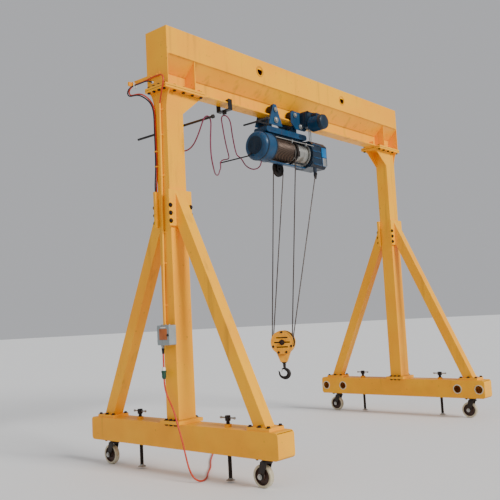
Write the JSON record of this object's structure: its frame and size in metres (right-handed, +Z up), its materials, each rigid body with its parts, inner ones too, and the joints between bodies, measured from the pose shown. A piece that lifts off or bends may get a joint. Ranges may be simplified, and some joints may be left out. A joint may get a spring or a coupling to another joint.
{
  "type": "portable gantry crane",
  "caption": "Portable A-frame gantry crane on castors: a boxed girder on two braced legs, with a wire-rope hoist on a travelling trolley, a hook block and trailing cables.",
  "frame": {"origin": "on the floor, midway between the two legs", "axes": "+X runs along the girder from the near leg, which carries the control box, to the far leg; +Y runs along the base beams, away from the travel motor; +Z up"},
  "size_m": [4.5803, 2.5, 4.31],
  "materials": {
    "yellow_paint": "gloss chrome-yellow enamel",
    "hoist_blue": "semi-gloss dark blue enamel",
    "dark_steel": "black paint and dark oiled steel",
    "bright_steel": "bright and greased steel",
    "block_orange": "satin orange-yellow enamel",
    "box_grey": "light grey powder coat",
    "castor_tyre": "cream polyurethane on a dark hub",
    "supply_red": "red-orange cable sheath",
    "festoon_mauve": "dark red cable sheath",
    "plug_green": "dark green moulded plastic"
  },
  "bodies": {
    "frame": {"main_girder": "yellow_paint", "splice_bolts_near": "dark_steel", "column_near": "yellow_paint", "base_beam_near": "yellow_paint", "brace_near_front": "yellow_paint", "brace_near_back": "yellow_paint", "castor_plate_near_front": "dark_steel", "castor_plate_near_back": "dark_steel", "splice_bolts_far": "dark_steel", "column_far": "yellow_paint", "base_beam_far": "yellow_paint", "brace_far_front": "yellow_paint", "brace_far_back": "yellow_paint", "castor_plate_far_front": "dark_steel", "castor_plate_far_back": "dark_steel", "control_box": "box_grey", "conduit": "yellow_paint", "cord_connector": "plug_green", "supply_cord": "supply_red", "supply_cord_coil": "supply_red", "supply_plug": "plug_green", "festoon_arm": "dark_steel", "cable_bracket": "yellow_paint", "festoon_cable": "festoon_mauve"},
    "trolley": {"idle_carriage": "hoist_blue", "drive_carriage": "hoist_blue", "suspension_beam": "hoist_blue", "travel_gearbox": "hoist_blue", "travel_motor": "hoist_blue", "hoist_body": "hoist_blue", "hoist_gearbox": "hoist_blue", "hoist_rope": "bright_steel"},
    "box_door": {"control_box_door": "box_grey"},
    "cable_carrier": {"cable_carrier": "dark_steel"},
    "drum": {"rope_drum": "dark_steel"},
    "return_sheave": {"return_sheave": "dark_steel"},
    "block": {"block_housing": "block_orange"},
    "sheave_near": {"block_sheave_near": "dark_steel"},
    "sheave_far": {"block_sheave_far": "dark_steel"},
    "hook": {"hook": "dark_steel"},
    "latch": {"hook_latch": "bright_steel"},
    "trolley_wheel_idle_front": {"trolley_wheel_idle_front": "dark_steel"},
    "trolley_wheel_idle_back": {"trolley_wheel_idle_back": "dark_steel"},
    "trolley_wheel_drive_front": {"trolley_wheel_drive_front": "dark_steel"},
    "trolley_wheel_drive_back": {"trolley_wheel_drive_back": "dark_steel"},
    "castor_fork_near_front": {"castor_fork_near_front": "dark_steel"},
    "castor_wheel_near_front": {"castor_wheel_near_front": "castor_tyre"},
    "jack_near_front": {"jack_screw_near_front": "dark_steel"},
    "castor_fork_near_back": {"castor_fork_near_back": "dark_steel"},
    "castor_wheel_near_back": {"castor_wheel_near_back": "castor_tyre"},
    "jack_near_back": {"jack_screw_near_back": "dark_steel"},
    "castor_fork_far_front": {"castor_fork_far_front": "dark_steel"},
    "castor_wheel_far_front": {"castor_wheel_far_front": "castor_tyre"},
    "jack_far_front": {"jack_screw_far_front": "dark_steel"},
    "castor_fork_far_back": {"castor_fork_far_back": "dark_steel"},
    "castor_wheel_far_back": {"castor_wheel_far_back": "castor_tyre"},
    "jack_far_back": {"jack_screw_far_back": "dark_steel"}
  },
  "joints": [
    {"name": "trolley_travel", "type": "slide", "parent": "frame", "child": "trolley", "axis": [1, 0, 0], "range_m": [-0.74, 1.4], "deforming": ["festoon_cable"]},
    {"name": "cable_carrier_travel", "type": "slide", "parent": "frame", "child": "cable_carrier", "axis": [1, 0, 0], "range_m": [-0.38, 0.71]},
    {"name": "hook_lift", "type": "slide", "parent": "trolley", "child": "block", "axis": [0, 0, 1], "range_m": [-0.68, 1.5], "deforming": ["hoist_rope"]},
    {"name": "drum_spin", "type": "hinge", "parent": "trolley", "child": "drum", "pos_m": [-0.25, 0, 3.37], "axis": [1, 0, 0], "range_deg": [-2700, 1230]},
    {"name": "return_sheave_spin", "type": "hinge", "parent": "trolley", "child": "return_sheave", "pos_m": [-0.268, 0.104, 3.18], "axis": [0, 1, 0], "range_deg": [-1890, 860]},
    {"name": "sheave_near_spin", "type": "hinge", "parent": "block", "child": "sheave_near", "pos_m": [-0.51219, -0.01268, 1.145], "axis": [0.9063, 0.4226, 0], "range_deg": [-2240, 1020]},
    {"name": "sheave_far_spin", "type": "hinge", "parent": "block", "child": "sheave_far", "pos_m": [-0.45781, 0.01268, 1.145], "axis": [0.9063, 0.4226, 0], "range_deg": [-350, 760]},
    {"name": "hook_swivel", "type": "hinge", "parent": "block", "child": "hook", "pos_m": [-0.485, 0, 0.923], "axis": [0, 0, 1], "continuous": true},
    {"name": "hook_latch_pivot", "type": "hinge", "parent": "hook", "child": "latch", "pos_m": [-0.49514, 0.02175, 0.847], "axis": [0.9063, 0.4226, 0], "range_deg": [-50, 0], "stiffness_Nm_per_rad": 0.2, "springref_deg": 5.73},
    {"name": "control_box_door_hinge", "type": "hinge", "parent": "frame", "child": "box_door", "pos_m": [-2.297, 0.072, 1.318], "axis": [0, 0, 1], "range_deg": [-110, 0]},
    {"name": "trolley_wheel_idle_front_spin", "type": "hinge", "parent": "trolley", "child": "trolley_wheel_idle_front", "pos_m": [-0.533, -0.054, 3.8033], "axis": [0, 1, 0], "range_deg": [-800, 1480]},
    {"name": "trolley_wheel_idle_back_spin", "type": "hinge", "parent": "trolley", "child": "trolley_wheel_idle_back", "pos_m": [-0.533, 0.054, 3.8033], "axis": [0, 1, 0], "range_deg": [-800, 1480]},
    {"name": "trolley_wheel_drive_front_spin", "type": "hinge", "parent": "trolley", "child": "trolley_wheel_drive_front", "pos_m": [-0.165, -0.054, 3.8033], "axis": [0, 1, 0], "range_deg": [-800, 1480]},
    {"name": "trolley_wheel_drive_back_spin", "type": "hinge", "parent": "trolley", "child": "trolley_wheel_drive_back", "pos_m": [-0.165, 0.054, 3.8033], "axis": [0, 1, 0], "range_deg": [-800, 1480]},
    {"name": "castor_swivel_near_front", "type": "hinge", "parent": "frame", "child": "castor_fork_near_front", "pos_m": [-2.1, -1.03, 0.2], "axis": [0, 0, 1], "continuous": true},
    {"name": "castor_roll_near_front", "type": "hinge", "parent": "castor_fork_near_front", "child": "castor_wheel_near_front", "pos_m": [-2.1, -0.985, 0.1], "axis": [1, 0, 0], "continuous": true},
    {"name": "jack_near_front_travel", "type": "slide", "parent": "frame", "child": "jack_near_front", "axis": [0, 0, 1], "range_m": [-0.02, 0.1]},
    {"name": "castor_swivel_near_back", "type": "hinge", "parent": "frame", "child": "castor_fork_near_back", "pos_m": [-2.1, 1.03, 0.2], "axis": [0, 0, 1], "continuous": true},
    {"name": "castor_roll_near_back", "type": "hinge", "parent": "castor_fork_near_back", "child": "castor_wheel_near_back", "pos_m": [-2.1, 1.075, 0.1], "axis": [1, 0, 0], "continuous": true},
    {"name": "jack_near_back_travel", "type": "slide", "parent": "frame", "child": "jack_near_back", "axis": [0, 0, 1], "range_m": [-0.02, 0.1]},
    {"name": "castor_swivel_far_front", "type": "hinge", "parent": "frame", "child": "castor_fork_far_front", "pos_m": [2.1, -1.03, 0.2], "axis": [0, 0, 1], "continuous": true},
    {"name": "castor_roll_far_front", "type": "hinge", "parent": "castor_fork_far_front", "child": "castor_wheel_far_front", "pos_m": [2.1, -0.985, 0.1], "axis": [1, 0, 0], "continuous": true},
    {"name": "jack_far_front_travel", "type": "slide", "parent": "frame", "child": "jack_far_front", "axis": [0, 0, 1], "range_m": [-0.02, 0.1]},
    {"name": "castor_swivel_far_back", "type": "hinge", "parent": "frame", "child": "castor_fork_far_back", "pos_m": [2.1, 1.03, 0.2], "axis": [0, 0, 1], "continuous": true},
    {"name": "castor_roll_far_back", "type": "hinge", "parent": "castor_fork_far_back", "child": "castor_wheel_far_back", "pos_m": [2.1, 1.075, 0.1], "axis": [1, 0, 0], "continuous": true},
    {"name": "jack_far_back_travel", "type": "slide", "parent": "frame", "child": "jack_far_back", "axis": [0, 0, 1], "range_m": [-0.02, 0.1]}
  ],
  "couplings": [
    {"joint": "cable_carrier_travel", "follows": "trolley_travel", "ratio": 0.5},
    {"joint": "drum_spin", "follows": "hook_lift", "rad_per_m": -31.128},
    {"joint": "return_sheave_spin", "follows": "hook_lift", "rad_per_m": -21.739},
    {"joint": "sheave_near_spin", "follows": "hook_lift", "rad_per_m": -25.862},
    {"joint": "sheave_far_spin", "follows": "hook_lift", "rad_per_m": 8.6207},
    {"joint": "trolley_wheel_idle_front_spin", "follows": "trolley_travel", "rad_per_m": 18.182},
    {"joint": "trolley_wheel_idle_back_spin", "follows": "trolley_travel", "rad_per_m": 18.182},
    {"joint": "trolley_wheel_drive_front_spin", "follows": "trolley_travel", "rad_per_m": 18.182},
    {"joint": "trolley_wheel_drive_back_spin", "follows": "trolley_travel", "rad_per_m": 18.182}
  ]
}
